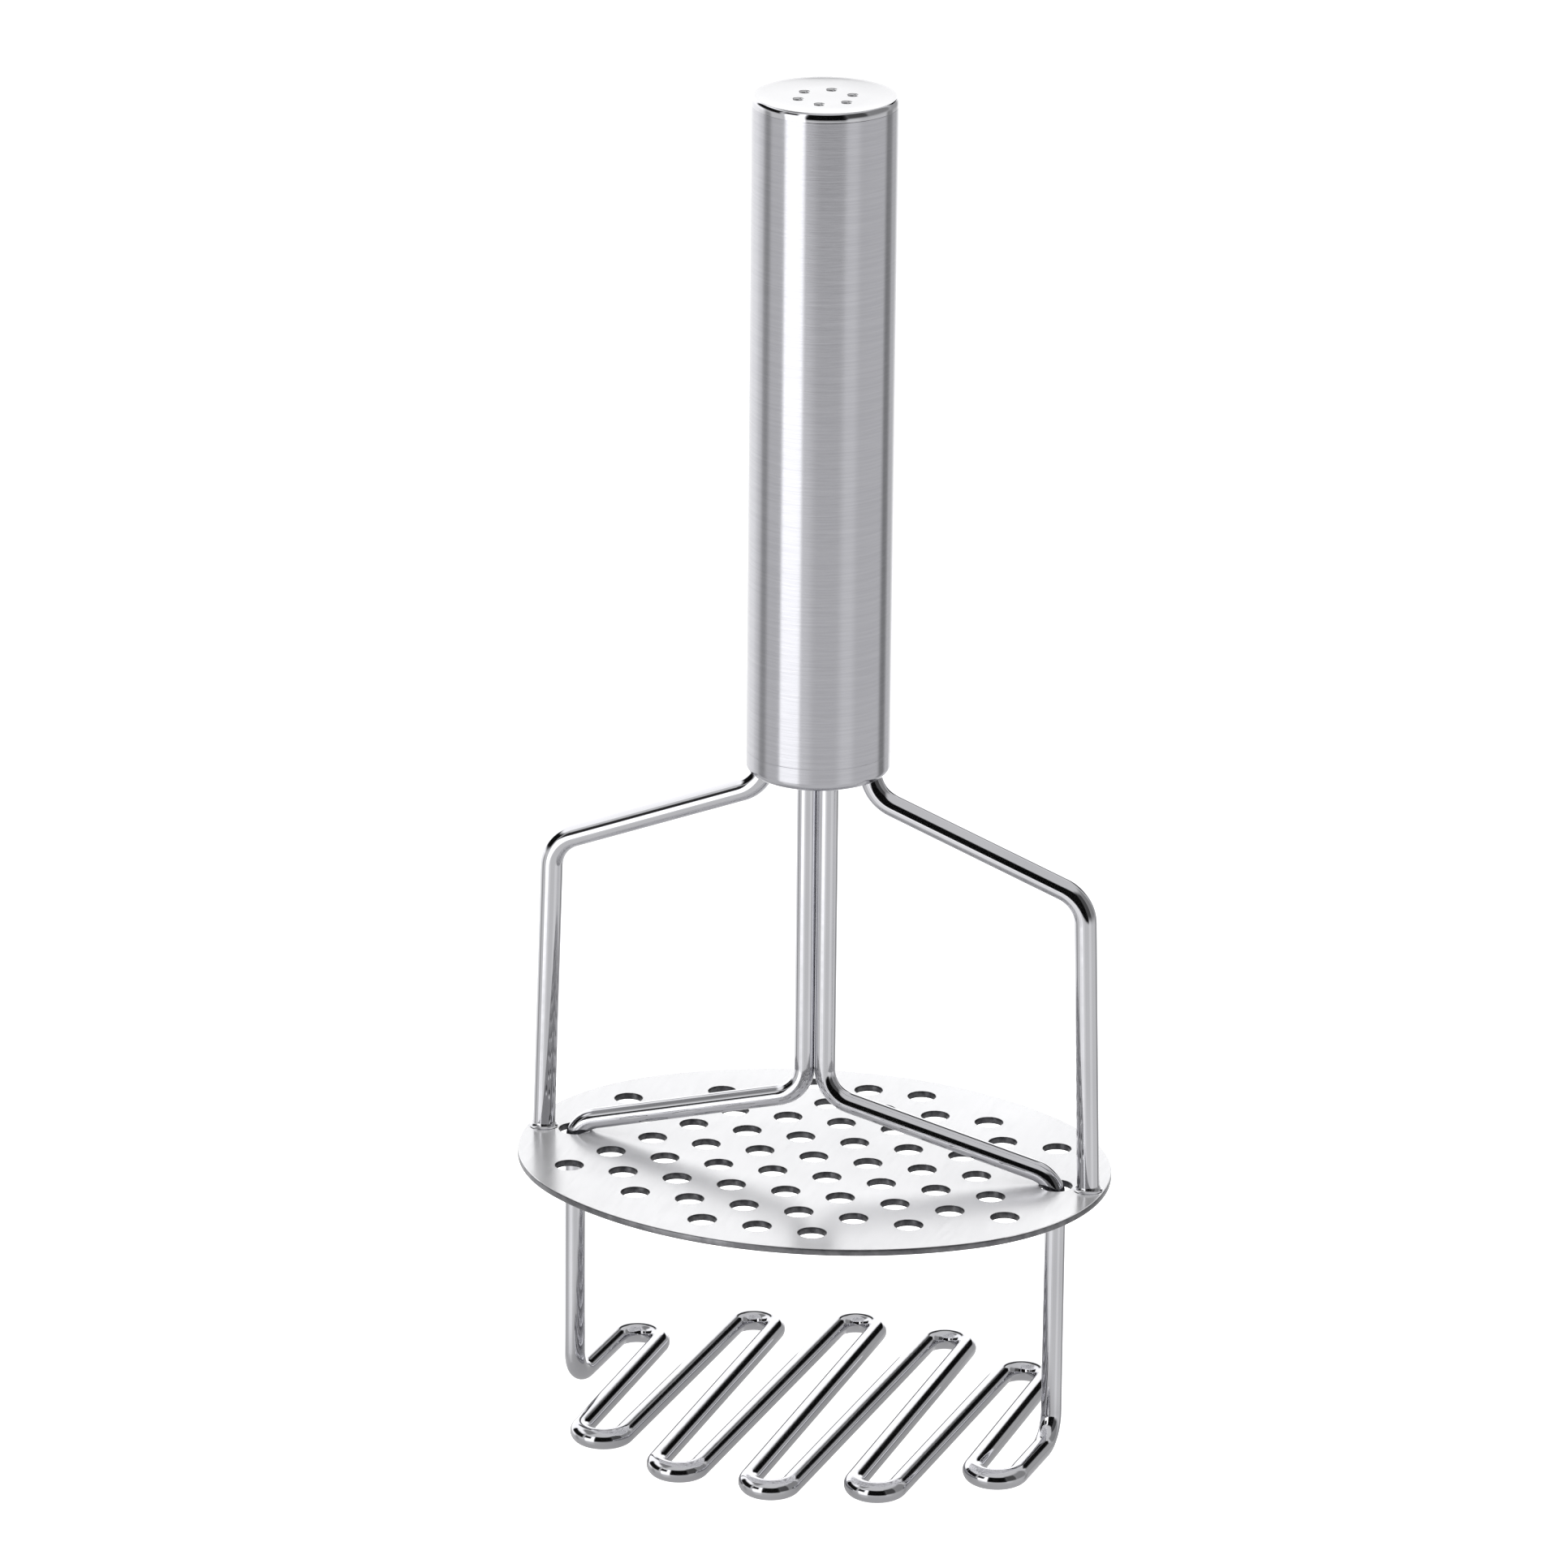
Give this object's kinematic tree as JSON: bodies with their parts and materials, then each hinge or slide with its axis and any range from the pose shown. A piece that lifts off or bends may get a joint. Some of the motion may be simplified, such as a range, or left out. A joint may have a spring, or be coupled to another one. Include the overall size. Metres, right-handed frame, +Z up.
{
  "type": "potato masher",
  "caption": "Spring-loaded potato masher: a perforated oval plate on two outer wires slides down over an inner wire bent to and fro, under a straight tube handle.",
  "frame": {"origin": "on the floor, under the handle's axis, where the wave stands", "axes": "+Z up the handle, X through the two side legs, +Y away from the viewer of the picture"},
  "size_m": [0.1066, 0.0862, 0.2449],
  "materials": {
    "brushed_tube": "stainless steel, brushed along the tube",
    "polished_cap": "stainless steel, polished",
    "polished_wire": "stainless steel wire, mirror polished",
    "plate_steel": "stainless sheet, bright satin",
    "weld_steel": "weld metal, polished over",
    "plain_steel": "stainless steel, plain",
    "spring_steel": "drawn spring steel",
    "guide_plastic": "moulded plastic, natural white",
    "seat_plastic": "moulded plastic, black"
  },
  "bodies": {
    "masher": {"wave_wire": "polished_wire", "stem_wire_left": "polished_wire", "stem_wire_right": "polished_wire", "lower_ferrule": "plain_steel", "plunger": "seat_plastic", "upper_ferrule": "plain_steel"},
    "press": {"handle_tube": "brushed_tube", "top_cap": "polished_cap", "bottom_cap": "brushed_tube", "guide_plug": "guide_plastic", "anchor_disc": "plain_steel", "spring_seat": "seat_plastic", "return_spring": "spring_steel", "frame_wire_left": "polished_wire", "frame_wire_right": "polished_wire", "frame_foot_welds": "weld_steel", "masher_plate": "plate_steel"}
  },
  "joints": [
    {"name": "handle_press", "type": "slide", "parent": "masher", "child": "press", "axis": [0, 0, -1], "range_m": [0, 0.04], "stiffness_N_per_m": 650, "springref_m": -0.02, "deforming": ["return_spring"]}
  ]
}
